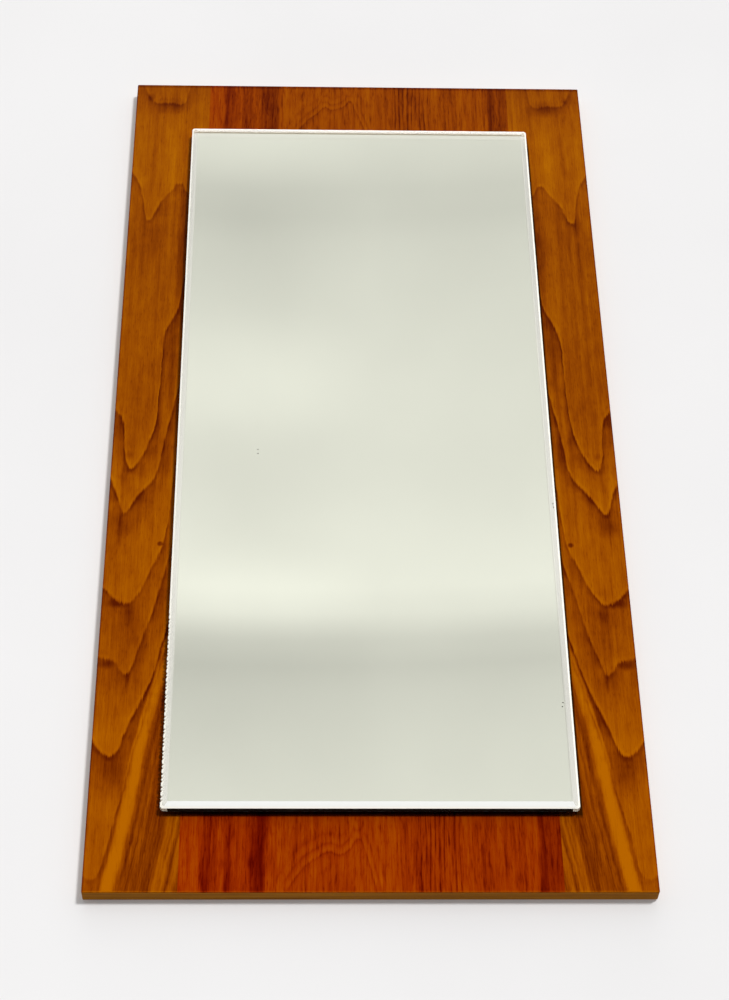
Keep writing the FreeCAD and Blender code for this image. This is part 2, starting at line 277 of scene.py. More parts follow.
def marks_and_edge_highlight(tree, millimetres, fibres, tone):
    """Adds what all the face leaves have besides their figure: fibres, short dark pores, cloudy patches,
    long streaks, and bands along the board's edges: darker along the left, right and top edges, and lighter
    along the lower edge, a painted highlight on its arris."""
    speck = add(tree, "ShaderNodeMapRange", {
        "Value": fibres, "From Min": 0.25, "From Max": 0.75, "To Min": -0.17, "To Max": 0.17,
    })
    tone = add(tree, "ShaderNodeMath", {0: tone, 1: speck}, operation="ADD")
    for width, length, start, full, change in WOOD_MARKS:
        shift = (length, 0.0, width)
        marks = patches(tree, millimetres, (width, length), (0.0, change), (start, full), shift=shift)
        tone = add(tree, "ShaderNodeMath", {0: tone, 1: marks}, operation="ADD")
    low, high = (1000 * corner for corner in cad_box)
    axes = add(tree, "ShaderNodeSeparateXYZ", {0: millimetres}).outputs
    edges = [
        ("X", low.x, EDGE_BAND_MM, -EDGE_TONE_AND_HIGHLIGHT), ("X", high.x, EDGE_BAND_MM, -EDGE_TONE_AND_HIGHLIGHT),
        ("Z", high.z, TOP_EDGE_BAND_MM, -EDGE_TONE_AND_HIGHLIGHT), ("Z", low.z, EDGE_BAND_MM, EDGE_TONE_AND_HIGHLIGHT),
    ]
    # The lighter band along the lower edge is a painted highlight.
    for axis, edge, width, change in edges:
        margin = add(tree, "ShaderNodeMath", {0: axes[axis], 1: edge}, operation="SUBTRACT")
        inward = add(tree, "ShaderNodeMath", {0: margin}, operation="ABSOLUTE")
        edge_tone_and_highlight = add(tree, "ShaderNodeMapRange", {
            "Value": inward, "From Min": 0.5 * width, "From Max": width, "To Min": change, "To Max": 0.0,
        })
        tone = add(tree, "ShaderNodeMath", {0: tone, 1: edge_tone_and_highlight}, operation="ADD")
    return tone


def oiled_surface(tree, surface, colour, fibres):
    """Connects a wood colour and gives the wood its satin oil and the faint relief of its open pores."""
    finish(tree, surface, colour, (fibres, 0.58, 0.4), (fibres, 0.12, 0.0002))


def red_teak():
    """Red brown teak: straight dark streaks, a band of close pencil stripes and a swirl at each end."""
    material, tree, surface, millimetres = start_material("oiled_red_teak", OILED_WOOD)
    axes = add(tree, "ShaderNodeSeparateXYZ", {0: millimetres}).outputs
    fibres = wood_fibres(tree, millimetres)
    sway = patches(tree, millimetres, RED_SWAY_MM, (-RED_SWAY_REACH_MM, RED_SWAY_REACH_MM), (0.0, 1.0))
    across = add(tree, "ShaderNodeMath", {0: axes["X"], 1: sway}, operation="ADD")
    tone = add(tree, "ShaderNodeFloatCurve", {"Value": across}, points=RED_LEAF_STREAKS)
    height = feathered(tree, axes["Z"], fibres, RED_FEATHER_MM)
    fading = patches(tree, millimetres, SWIRL_PATCH_MM, (0.5, 1.5))
    for line in (UPPER_SWIRL, LOWER_SWIRL):
        tone = growth_line(tree, axes["X"], height, line, SWIRL_PROFILE, SWIRL_STRENGTH, fading, tone)
    wave = add(tree, "ShaderNodeMath", {
        0: across, 1: 2 * math.pi / PENCIL_STRIPE_SPACING_MM,
    }, operation="MULTIPLY")
    lines = add(tree, "ShaderNodeMath", {0: wave}, operation="SINE")
    broken = patches(tree, millimetres, (PENCIL_STRIPE_SPACING_MM, PENCIL_STRIPE_LENGTH_MM), (0.0, -0.5))
    thin = add(tree, "ShaderNodeMapRange", {"Value": lines, "To Max": broken})
    aside = add(tree, "ShaderNodeMath", {0: axes["X"], 1: PENCIL_STRIPES_MIDDLE_MM}, operation="SUBTRACT")
    apart = add(tree, "ShaderNodeMath", {0: aside}, operation="ABSOLUTE")
    inside = add(tree, "ShaderNodeMapRange", {
        "Value": apart, "From Min": PENCIL_STRIPES_REACH_MM,
        "From Max": PENCIL_STRIPES_REACH_MM - PENCIL_STRIPES_FADE_MM,
    })
    tone = add(tree, "ShaderNodeMath", {0: thin, 1: inside, 2: tone}, operation="MULTIPLY_ADD")
    long_marks = patches(tree, millimetres, RED_STREAK_MM, (0.05, -0.18), (0.42, 0.66), 3.0, Roughness=0.55)
    short_marks = patches(tree, millimetres, RED_DASH_MM, (0.0, -0.22), (0.56, 0.72), 1.0)
    for marks in (long_marks, short_marks):
        tone = add(tree, "ShaderNodeMath", {0: tone, 1: marks}, operation="ADD")
    tone = marks_and_edge_highlight(tree, millimetres, fibres, tone)
    brown = add(tree, "ShaderNodeValToRGB", {0: tone}, stops=[
        (0.0, "#4e1400"), (0.25, "#632100"), (0.6, "#883a00"), (1.0, "#9d5000"),
    ])
    red = add(tree, "ShaderNodeValToRGB", {0: tone}, stops=[
        (0.0, "#520500"), (0.25, "#6c1100"), (0.6, "#8f2a00"), (1.0, "#a44500"),
    ])
    lower = add(tree, "ShaderNodeMapRange", {
        "Value": axes["Z"], "From Min": BROWN_HEIGHT_MM, "From Max": RED_HEIGHT_MM, "To Max": 0.85,
    })
    near_heart = add(tree, "ShaderNodeMapRange", {
        "Value": across, "From Min": BROWN_SIDE_MM, "From Max": RED_SIDE_MM, "To Max": 0.5,
    })
    redness = add(tree, "ShaderNodeMath", {0: lower, 1: near_heart}, operation="ADD")
    colour = add(tree, "ShaderNodeMixRGB", {0: redness, 1: brown, 2: red})
    oiled_surface(tree, surface, colour, fibres)
    return material


dress(red_teak(), "face_veneer_centre")

# Face veneer, side leaves
# Two golden teak leaves cut one after the other from the same log and opened like a book, so that their
# figure mirrors about the middle of the board: heights are drawn by the distance from that middle.
GOLDEN_LINES = [  # points in millimetres from the middle and up, and strength
    ([(146, 440), (152, 402), (154, 388), (156, 378), (158, 375), (170, 376), (183, 377), (187, 382),
      (191, 390), (195, 400), (202, 425)], 0.4),
    ([(140, 290), (148, 262), (152, 266), (158, 276), (163, 269), (168, 261), (173, 253), (178, 241),
      (182, 232), (185, 232), (187, 245), (189.5, 262), (193, 275), (197, 284), (202, 293)], 0.68),
    ([(140, 330), (147, 185), (150, 160), (153, 132), (158, 119), (162, 106), (164, 84), (165, 48),
      (166, 18), (168, 2), (171, -10), (175, -22), (180, -32), (184.5, -36), (188, -30), (190, -19),
      (190.6, 0), (193, 13), (197, 20), (202, 26)], 0.9),
    ([(140, 160), (148, 62), (150, 46), (152, 33), (154.5, 18), (157.5, 0), (160, -18), (162, -34),
      (165, -45), (170, -53), (175, -60), (180, -68), (184, -75), (187.5, -79), (191, -73), (194, -62),
      (197, -53), (202, -42)], 0.9),
    ([(140, 40), (148, -20), (151.5, -65), (153, -86), (155, -106), (157, -114), (161, -124), (166, -138),
      (170, -149), (175, -158), (180, -163), (186, -162), (191, -159), (196, -153), (202, -147)], 0.75),
    ([(140, -60), (147, -95), (149, -110), (152, -128), (155, -142), (158.5, -158), (162, -175),
      (166, -190), (170.5, -205), (174.5, -218), (178, -225), (183, -222), (187, -215), (191, -213),
      (196, -212), (202, -210)], 0.7),
    ([(140, -140), (147, -172), (150.5, -190), (154, -205), (158, -222), (162, -236), (167, -250),
      (172, -263), (177, -278), (181.5, -290), (185.5, -294), (191, -292), (196, -287), (202, -276)], 1.0),
    ([(140, -160), (148, -196), (152, -210), (157, -232), (161, -250), (166, -272), (171, -296),
      (175, -318), (179, -338), (183, -358), (186, -375), (189, -388), (194, -391), (202, -385)], 0.45),
]
LINE_PROFILE = [  # millimetres below a line, and change of tone
    (-40, 0.0), (-16, 0.04), (-5, 0.1), (-1.4, 0.13), (0.3, -0.44), (1.5, -0.46), (3.5, -0.3), (8, -0.2),
    (16, -0.1), (34, 0.0),
]
LINE_PATCH_MM = (16.0, 16.0)
GOLDEN_SWAY_MM = (25.0, 45.0)
GOLDEN_SWAY_REACH_MM = 2.0
WOBBLE_MM = (9.0, 9.0)
WOBBLE_REACH_MM = 0.35
GOLDEN_FEATHER_MM = 1.6
LIGHT_STREAK = [  # height and distance from the middle, in millimetres
    (-420, 186.0), (-380, 179.0), (-340, 172.5), (-300, 167.5), (-260, 160.5), (-240, 156.5),
    (-220, 152.0), (-205, 148.5), (-170, 137.0), (-120, 110.0),
]
STREAK_TONES = [  # millimetres from the light streak towards the glass, and change of tone
    (-14, 0.0), (-8, -0.04), (-5.5, -0.06), (-4.5, 0.2), (3.5, 0.22), (5, -0.1), (6.5, -0.26),
    (9, -0.26), (10, -0.18), (11.5, -0.3), (15, -0.22), (18, -0.34), (21, -0.26), (24, -0.38),
    (28, -0.36), (30, -0.1), (33, 0.02), (35, -0.1), (37, 0.02), (39.5, -0.28), (41.5, -0.04),
    (44, 0.02), (46.5, -0.28), (50, -0.1),
]
FINE_LINE_MM = (1.7, 130.0)
FINE_LINES_START_MM, FINE_LINES_FULL_MM = 3.0, 8.0
GOLDEN_DRIFT = [  # height in millimetres, and tone
    (-410, 0.5), (-340, 0.53), (-280, 0.54), (-240, 0.43), (-200, 0.42), (-150, 0.47), (-110, 0.52),
    (-80, 0.53), (-50, 0.57), (-20, 0.43), (20, 0.37), (60, 0.38), (150, 0.41), (210, 0.4), (250, 0.47),
    (330, 0.52), (365, 0.48), (380, 0.42), (410, 0.4),
]
SMEARS = [  # place, half width and half height in millimetres, and darkness, which is negative for light ones
    ((190, -162), (7, 4), 0.38), ((179, -172), (4, 10), 0.28), ((193, -216), (6, 4), 0.4),
    ((177.5, -230), (2, 9), 0.34), ((185, -309), (12, 18), 0.25), ((186, -22), (4, 4), 0.22),
    ((176, -64), (6, 8), 0.24), ((188, -90), (8, 10), 0.22), ((157, 75), (4, 50), 0.28),
    ((158, -25), (4, 30), 0.16), ((169, 373), (16, 9), 0.28), ((187, 383), (3, 5), 0.3),
    ((181, 300), (2.5, 45), 0.16), ((186, 200), (10, 40), 0.06), ((172, 205), (3, 60), 0.1),
    ((151, 200), (6, 80), 0.4), ((166, 310), (9, 45), -0.16), ((195, 330), (5, 55), -0.08),
    ((177, -192), (12, 24), 0.13),
]
PIN_KNOT = (158.2, 0.0, -107.5)
PIN_KNOT_MM, PIN_KNOT_HALO_MM = 1.3, 2.86
GOLDEN_HEIGHT_MM, REDDER_HEIGHT_MM = 150.0, -330.0
# Painted shade: a dark line on the wood beside the right edge of the glass. It is full within the first
# width, gone by the second, fades out below the glass's top, and has this darkness.
SHADE_LINE_MM, SHADE_LINE_EDGE_MM = 2.3, 3.2
SHADE_LINE_FADE_MM = 12.8
SHADE_LINE_DARKNESS = 0.9

glass_low, glass_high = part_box("mirror_glass")


def golden_teak():
    """Golden teak cut through the side of its growth rings, which gives stacked arches that point down.
    A dark line of painted shade is put on it along the right side of the glass."""
    material, tree, surface, millimetres = start_material("oiled_golden_teak", OILED_WOOD)
    axes = add(tree, "ShaderNodeSeparateXYZ", {0: millimetres}).outputs
    fibres = wood_fibres(tree, millimetres)
    reach = GOLDEN_SWAY_REACH_MM
    sway = patches(tree, millimetres, GOLDEN_SWAY_MM, (-reach, reach), (0.0, 1.0), 3.0)
    from_middle = add(tree, "ShaderNodeMath", {0: axes["X"]}, operation="ABSOLUTE")
    wobble = patches(tree, millimetres, WOBBLE_MM, (-WOBBLE_REACH_MM, WOBBLE_REACH_MM))
    swayed = add(tree, "ShaderNodeMath", {0: from_middle, 1: sway}, operation="ADD")
    across = add(tree, "ShaderNodeMath", {0: swayed, 1: wobble}, operation="ADD")
    height = feathered(tree, axes["Z"], fibres, GOLDEN_FEATHER_MM)
    tone = add(tree, "ShaderNodeFloatCurve", {"Value": axes["Z"]}, points=GOLDEN_DRIFT)
    unevenness = patches(tree, millimetres, LINE_PATCH_MM, (0.45, 1.5))
    for line, strength in GOLDEN_LINES:
        tone = growth_line(tree, across, height, line, LINE_PROFILE, strength, unevenness, tone)
    streak = add(tree, "ShaderNodeFloatCurve", {"Value": axes["Z"]}, points=LIGHT_STREAK)
    past_streak = add(tree, "ShaderNodeMath", {0: streak, 1: across}, operation="SUBTRACT")
    stripes = add(tree, "ShaderNodeFloatCurve", {"Value": past_streak}, points=STREAK_TONES)
    tone = add(tree, "ShaderNodeMath", {0: tone, 1: stripes}, operation="ADD")
    along_streak = add(tree, "ShaderNodeCombineXYZ", {"X": past_streak, "Z": axes["Z"]})
    fine_lines = patches(tree, along_streak, FINE_LINE_MM, (-0.13, 0.1), (0.35, 0.65))
    beside_streak = add(tree, "ShaderNodeMapRange", {
        "Value": past_streak, "From Min": FINE_LINES_START_MM, "From Max": FINE_LINES_FULL_MM,
    })
    tone = add(tree, "ShaderNodeMath", {0: fine_lines, 1: beside_streak, 2: tone}, operation="MULTIPLY_ADD")
    knot_place = add(tree, "ShaderNodeCombineXYZ", {"X": from_middle, "Z": axes["Z"]})
    off_knot = add(tree, "ShaderNodeVectorMath", {0: knot_place, 1: PIN_KNOT}, operation="DISTANCE")
    knot = add(tree, "ShaderNodeMapRange", {
        "Value": off_knot.outputs["Value"], "From Min": PIN_KNOT_MM, "From Max": PIN_KNOT_HALO_MM,
        "To Min": -0.6, "To Max": 0.0,
    })
    tone = add(tree, "ShaderNodeMath", {0: tone, 1: knot}, operation="ADD")
    smear_place = add(tree, "ShaderNodeCombineXYZ", {"X": across, "Z": height})
    for (x, z), (half_width, half_height), darkness in SMEARS:
        fitted = add(tree, "ShaderNodeMapping", {
            "Vector": smear_place, "Location": (-x / half_width, 0.0, -z / half_height),
            "Scale": (1 / half_width, 1.0, 1 / half_height),
        })
        off_centre = add(tree, "ShaderNodeVectorMath", {0: fitted}, operation="LENGTH")
        smear = add(tree, "ShaderNodeMapRange", {
            "Value": off_centre.outputs["Value"], "From Min": 0.2, "From Max": 1.3,
            "To Min": -darkness, "To Max": 0.0,
        })
        tone = add(tree, "ShaderNodeMath", {0: tone, 1: smear}, operation="ADD")
    tone = marks_and_edge_highlight(tree, millimetres, fibres, tone)
    golden = add(tree, "ShaderNodeValToRGB", {0: tone}, stops=[
        (0.0, "#551a00"), (0.2, "#6b2b00"), (0.45, "#833c00"), (0.65, "#944b00"), (1.0, "#aa6100"),
    ])
    redder = add(tree, "ShaderNodeValToRGB", {0: tone}, stops=[
        (0.0, "#531500"), (0.2, "#692600"), (0.45, "#833900"), (0.65, "#964900"), (1.0, "#ac5e00"),
    ])
    lower = add(tree, "ShaderNodeMapRange", {
        "Value": axes["Z"], "From Min": GOLDEN_HEIGHT_MM, "From Max": REDDER_HEIGHT_MM,
    })
    wood = add(tree, "ShaderNodeMixRGB", {0: lower, 1: golden, 2: redder})
    # Painted shade: the wood is mixed towards a dark brown in a narrow line beside the glass's right edge.
    side, foot, top = 1000 * glass_high.x, 1000 * glass_low.z, 1000 * glass_high.z
    off_glass = add(tree, "ShaderNodeMath", {0: axes["X"], 1: side}, operation="SUBTRACT")
    off_side = add(tree, "ShaderNodeMath", {0: off_glass}, operation="ABSOLUTE")
    shade_line = add(tree, "ShaderNodeMapRange", {
        "Value": off_side, "From Min": SHADE_LINE_EDGE_MM, "From Max": SHADE_LINE_MM,
        "To Max": SHADE_LINE_DARKNESS,
    })
    below_top = add(tree, "ShaderNodeMapRange", {
        "Value": axes["Z"], "From Min": top + SHADE_LINE_EDGE_MM, "From Max": top - SHADE_LINE_FADE_MM,
    })
    above_foot = add(tree, "ShaderNodeMapRange", {
        "Value": axes["Z"], "From Min": foot - SHADE_LINE_EDGE_MM, "From Max": foot,
    })
    beside_glass = add(tree, "ShaderNodeMath", {0: below_top, 1: above_foot}, operation="MULTIPLY")
    painted_shade = add(tree, "ShaderNodeMath", {0: shade_line, 1: beside_glass}, operation="MULTIPLY")
    colour = add(tree, "ShaderNodeMixRGB", {0: painted_shade, 1: wood, 2: linear("#241000")})
    oiled_surface(tree, surface, colour, fibres)
    return material


dress(golden_teak(), "face_veneer_left", "face_veneer_right")

# Back veneer
# A plain peeled veneer that balances the pull of the teak on the front and keeps the board flat.
# Peeling round the log gives broad, wandering figure. It is thinly sealed, pale and nearly matt.
PEELED_FIGURE_MM = (28.0, 210.0)
PEELED_RINGS = 9.0


def peeled_veneer():
    """Pale red brown peeled veneer: wide wavy bands, short pores and a dull sealer."""
    material, tree, surface, millimetres = start_material("peeled_veneer")
    fibres = wood_fibres(tree, millimetres)
    figure = noise_of_size(tree, millimetres, PEELED_FIGURE_MM, Detail=3.0, Distortion=1.2)
    rings = add(tree, "ShaderNodeMath", {0: figure, 1: PEELED_RINGS}, operation="MULTIPLY")
    bands = add(tree, "ShaderNodeMath", {0: rings, 1: 1.0}, operation="PINGPONG")
    speck = add(tree, "ShaderNodeMapRange", {"Value": fibres, "To Min": -0.35, "To Max": 0.35})
    tone = add(tree, "ShaderNodeMath", {0: bands, 1: 0.5, 2: speck}, operation="MULTIPLY_ADD")
    browns = add(tree, "ShaderNodeValToRGB", {0: tone}, stops=[
        (0.0, "#8a5c3c"), (0.3, "#9d6d49"), (0.7, "#ae7f58"), (1.0, "#bb8f67"),
    ])
    finish(tree, surface, browns, (fibres, 0.78, 0.6), (fibres, 0.2, 0.0003))
    return material


dress(peeled_veneer(), "back_veneer")

# Hanger plates
# Two flat keyhole plates pressed from 1.5 mm steel strip and zinc plated, let in just below the back.
# Plating leaves them a cool grey with faint rolling lines and a slightly mottled gloss.
ROLLING_LINE_MM = (0.5, 60.0)  # width and length, wider than the real lines so that they show
PLATING_MOTTLE_MM = (6.0, 6.0)


def zinc_plate():
    """Zinc on rolled steel: bright cool grey metal, mottled, with fine lines along the strip."""
    material, tree, surface, millimetres = start_material("zinc_plated_steel", {"Metallic": 1.0})
    lines = noise_of_size(tree, millimetres, ROLLING_LINE_MM, Detail=2.0)
    mottle = noise_of_size(tree, millimetres, PLATING_MOTTLE_MM, Detail=4.0)
    greys = add(tree, "ShaderNodeValToRGB", {0: mottle}, stops=[
        (0.3, "#9fa4a8"), (0.5, "#b9bec1"), (0.7, "#cdcfc9"),
    ])
    finish(tree, surface, greys, (mottle, 0.24, 0.5), (lines, 0.15, 0.0001))
    return material


dress(zinc_plate(), "hanger_plate_left", "hanger_plate_right")

# Hanger plate screws
# Slotted countersunk wood screws, turned from steel and plated, driven flush with the plates.
# All the screws on the mirror are of this kind, so one tree of geometry nodes makes each set.
SCREW_SIZES_MM = {
    "Head Diameter": 5.8,
    "Head Height": 1.4,
    "Shank Diameter": 3.0,
    "Tip Length": 3.0,
    "Tip Diameter": 0.6,
    "Slot Width": 0.8,
    "Slot Depth": 0.6,
}
HEAD_SIDES = 40
SHANK_SIDES = 24
SCRATCH_MM = (0.25, 1.43)
PLATE_SCREW_SPACING = 0.038


def plated_screw_steel():
    """Plated steel with short scratches from the driver: bright edges on a duller grey."""
    material, tree, surface, millimetres = start_material("plated_screw_steel", {"Metallic": 1.0})
    scratches = noise_of_size(tree, millimetres, SCRATCH_MM, Detail=4.0)
    greys = add(tree, "ShaderNodeValToRGB", {0: scratches}, stops=[
        (0.3, "#7d7c78"), (0.55, "#a3a39d"), (0.75, "#c2c1ba"),
    ])
    finish(tree, surface, greys, (scratches, 0.5, 0.25), (scratches, 0.2, 0.00005))
    return material


def screw_tree(steel):
    """Geometry nodes that set a slotted countersunk screw on each point, head at the point, tip along +Z
    before it is turned."""
    tree = bpy.data.node_groups.new("countersunk_screws", "GeometryNodeTree")
    sockets = tree.interface
    sockets.new_socket("Places", in_out="INPUT", socket_type="NodeSocketGeometry")
    for name in [*SCREW_SIZES_MM, "Length"]:
        sockets.new_socket(name, in_out="INPUT", socket_type="NodeSocketFloat")
    sockets.new_socket("Turn", in_out="INPUT", socket_type="NodeSocketRotation")
    sockets.new_socket("Screws", in_out="OUTPUT", socket_type="NodeSocketGeometry")
    given = add(tree, "NodeGroupInput").outputs
    half = {}
    for name in ("Head Diameter", "Shank Diameter", "Tip Diameter"):
        half[name] = add(tree, "ShaderNodeMath", {0: given[name], 1: 0.5}, operation="MULTIPLY")
    head = add(tree, "GeometryNodeMeshCone", {
        "Vertices": HEAD_SIDES, "Radius Bottom": half["Head Diameter"],
        "Radius Top": half["Shank Diameter"], "Depth": given["Head Height"],
    })
    # The cutter for the slot is centred on the head's flat face and reaches well past its rim.
    slot_reach = add(tree, "ShaderNodeMath", {0: given["Head Diameter"], 1: 2.0}, operation="MULTIPLY")
    slot_depth = add(tree, "ShaderNodeMath", {0: given["Slot Depth"], 1: 2.0}, operation="MULTIPLY")
    slot_size = add(tree, "ShaderNodeCombineXYZ", {0: slot_reach, 1: given["Slot Width"], 2: slot_depth})
    slot = add(tree, "GeometryNodeMeshCube", {"Size": slot_size})
    slotted = add(tree, "GeometryNodeMeshBoolean", {"Mesh 1": head, "Mesh 2": slot}, operation="DIFFERENCE")
    tip_start = add(tree, "ShaderNodeMath", {
        0: given["Length"], 1: given["Tip Length"],
    }, operation="SUBTRACT")
    shank_depth = add(tree, "ShaderNodeMath", {0: tip_start, 1: given["Head Height"]}, operation="SUBTRACT")
    screw = add(tree, "GeometryNodeJoinGeometry")
    tip = (tip_start, "Tip Diameter", given["Tip Length"])
    shank = (given["Head Height"], "Shank Diameter", shank_depth)
    for start, end_diameter, depth in (tip, shank):
        bar = add(tree, "GeometryNodeMeshCone", {
            "Vertices": SHANK_SIDES, "Radius Bottom": half["Shank Diameter"],
            "Radius Top": half[end_diameter], "Depth": depth,
        })
        place = add(tree, "ShaderNodeCombineXYZ", {2: start})
        moved = add(tree, "GeometryNodeTransform", {"Geometry": bar, "Translation": place})
        tree.links.new(moved.outputs[0], screw.inputs[0])
    tree.links.new(slotted.outputs[0], screw.inputs[0])
    driven = add(tree, "GeometryNodeInstanceOnPoints", {
        "Points": given["Places"], "Instance": screw, "Rotation": given["Turn"],
    })
    real = add(tree, "GeometryNodeRealizeInstances", {0: driven})
    plated = add(tree, "GeometryNodeSetMaterial", {"Geometry": real, "Material": steel})
    add(tree, "NodeGroupOutput", {"Screws": plated})
    return tree


countersunk_screws = screw_tree(plated_screw_steel())


def placed(name, data):
    """A new object in the scene."""
    made = bpy.data.objects.new(name, data)
    bpy.context.collection.objects.link(made)
    return made


def drive_screws(name, places, length, turn, node):
    """A set of screws at its places, as one plain mesh that stands for the CAD node of the set."""
    mesh = bpy.data.meshes.new(name)
    mesh.from_pydata(places, [], [])
    screws = placed(name, mesh)
    set_out = screws.modifiers.new("screws", "NODES")
    set_out.node_group = countersunk_screws
    given = {size: value / 1000 for size, value in SCREW_SIZES_MM.items()}
    given.update({"Length": length, "Turn": turn})
    for socket in countersunk_screws.interface.items_tree:
        if socket.name in given:
            set_out[socket.identifier] = given[socket.name]
    made = screws.evaluated_get(bpy.context.evaluated_depsgraph_get())
    screws.data = bpy.data.meshes.new_from_object(made)
    screws.modifiers.clear()
    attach(screws, "root")
    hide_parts(node)


plate_screw_places = []
for plate in ("hanger_plate_left", "hanger_plate_right"):
    low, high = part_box(plate)
    middle = (low + high) / 2
    for side in (-1, 1):
        plate_screw_places.append((middle.x, high.y, middle.z + side * PLATE_SCREW_SPACING / 2))
low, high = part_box("hanger_plate_screws")
into_board = (math.pi / 2, 0.0, 0.0)
drive_screws("plate_screws", plate_screw_places, high.y - low.y, into_board, "hanger_plate_screws")

# Backing board
# A sheet of 3.2 mm hardboard that holds the glass clear of the teak, set in so far that it stays hidden.
# It is pressed wood fibre: dark brown, smooth on its face and fuzzy along its sawn edges.
HARDBOARD_FIBRE_MM = (0.6, 0.6)  # coarser than the real fibre so that it shows


def hardboard():
    """Pressed brown wood fibre, finely mottled and nearly matt."""
    material, tree, surface, millimetres = start_material("hardboard")
    fuzz = noise_of_size(tree, millimetres, HARDBOARD_FIBRE_MM, Detail=5.0, Roughness=0.7)
    browns = add(tree, "ShaderNodeValToRGB", {0: fuzz}, stops=[
        (0.3, "#3f2817"), (0.5, "#5c3d25"), (0.7, "#6e4b30"),
    ])
    finish(tree, surface, browns, (fuzz, 0.7, 0.9), (fuzz, 0.3, 0.0002))
    return material


dress(hardboard(), "backing_board")

# Backing board screws
# Six screws of the same kind, in two columns of three, through the hardboard and into the chipboard.
BACKING_SCREW_SIDE_MARGIN = 0.078
BACKING_SCREW_END_MARGIN = 0.0675

low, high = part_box("backing_board")
columns = (low.x + BACKING_SCREW_SIDE_MARGIN, high.x - BACKING_SCREW_SIDE_MARGIN)
rows = (low.z + BACKING_SCREW_END_MARGIN, (low.z + high.z) / 2, high.z - BACKING_SCREW_END_MARGIN)
backing_screw_places = [(x, low.y, z) for x in columns for z in rows]
low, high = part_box("backing_board_screws")
towards_wall = (-math.pi / 2, 0.0, 0.0)
drive_screws("backing_screws", backing_screw_places, high.y - low.y, towards_wall, "backing_board_screws")

# Mirror tapes
# Three upright strips of double-sided tape on a dark closed-cell foam, which bond the glass to the hardboard.
FOAM_CELL_MM = 0.35  # larger than the real cells so that they show


def foam_tape():
    """Dark grey closed-cell foam: matt, with tiny round cells along its cut edges."""
    material, tree, surface, millimetres = start_material("closed_cell_foam")
    cells = add(tree, "ShaderNodeTexVoronoi", {"Vector": millimetres, "Scale": 1 / FOAM_CELL_MM})
    greys = add(tree, "ShaderNodeValToRGB", {0: cells}, stops=[(0.0, "#0e0e0f"), (0.6, "#232325")])
    finish(tree, surface, greys, (cells, 0.95, 0.75), (cells, 0.4, 0.0002))
    return material


dress(foam_tape(), "mirror_tape_left", "mirror_tape_centre", "mirror_tape_right")

# Mirror backing paint
# A grey coat over the silvering that keeps damp off it, curtain coated and baked.
PAINT_MOTTLE_MM = (3.0, 3.0)


def backing_paint():
    """Grey mirror paint: dull, with a faint orange-peel surface."""
    material, tree, surface, millimetres = start_material("mirror_paint")
    peel = noise_of_size(tree, millimetres, PAINT_MOTTLE_MM, Detail=2.0)
    greys = add(tree, "ShaderNodeValToRGB", {0: peel}, stops=[(0.3, "#55575a"), (0.7, "#626467")])
    finish(tree, surface, greys, (peel, 0.55, 0.7), (peel, 0.1, 0.0002))
    return material


dress(backing_paint(), "mirror_backing_paint")

# Mirror glass
# A 6 mm plate of clear glass, its bevel ground and polished and its edges left dull. Along the foot, the edge
# takes a dark copy of the edge finish as painted shade, and the bevel a whiter, less clear copy of the bevel
# finish as a painted highlight. The small chips along the lower left edge are wear from handling.
BEVEL_WIDTH = 0.005
BEVEL_DEPTH = 0.0015
CORNER_CLIP = 0.0015
FRONT_CORNER_CLIP = CORNER_CLIP / 8
BACK_ARRIS = 0.00025
FRONT_ARRIS_WIDTH = 0.0013
FRONT_ARRIS_DEPTH = 0.00005
# The painted shade on the edge along the foot stops short of the corners by this much.
SHADED_EDGE_STOPS_SHORT = 0.005
CHIPS = 44
HIGHEST_CHIP = -0.178
CHIP_SPACING = 0.0036
CHIP_DEPTH = 0.0016
CHIP_HALF_LENGTH = 0.0012
CHIP_SHUFFLE = 0.618
GLASS_IOR = 1.52
WIPING_MARK_MM = (40.0, 90.0)
GRIT_MM = (0.5, 0.5)  # coarser than the real grinding marks so that they show

back_y, front_y = glass_high.y, glass_low.y


def clear_glass(name, colour, clearness, marks, dullness, span):
    """Clear plate glass. Wiping marks dull the gloss of its front a very little. Its bevel was ground and
    then polished less than the front, so that a share of the light is scattered white."""
    material, tree, surface, millimetres = start_material(name, {
        "Base Color": linear(colour), "IOR": GLASS_IOR, "Transmission Weight": clearness,
    })
    dull = patches(tree, millimetres, marks, dullness, span, 3.0)
    tree.links.new(dull.outputs[0], surface.inputs["Roughness"])
    return material


def ground_edge(name, dark, pale, clearness):
    """Glass ground with a fine wheel and left dull, which scatters a share of the light through."""
    material, tree, surface, millimetres = start_material(name, {"Specular IOR Level": 0.1})
    grit = noise_of_size(tree, millimetres, GRIT_MM, Detail=3.0)
    greys = add(tree, "ShaderNodeValToRGB", {0: grit}, stops=[(0.3, dark), (0.7, pale)])
    relief = finish(tree, surface, greys, (grit, 0.6, 0.8), (grit, 0.2, 0.0001))
    through = add(tree, "ShaderNodeBsdfTranslucent", {"Color": greys, "Normal": relief})
    scattered = add(tree, "ShaderNodeMixShader", {0: clearness, 1: surface.outputs[0], 2: through})
    tree.links.new(scattered.outputs[0], tree.nodes["Material Output"].inputs["Surface"])
    return material


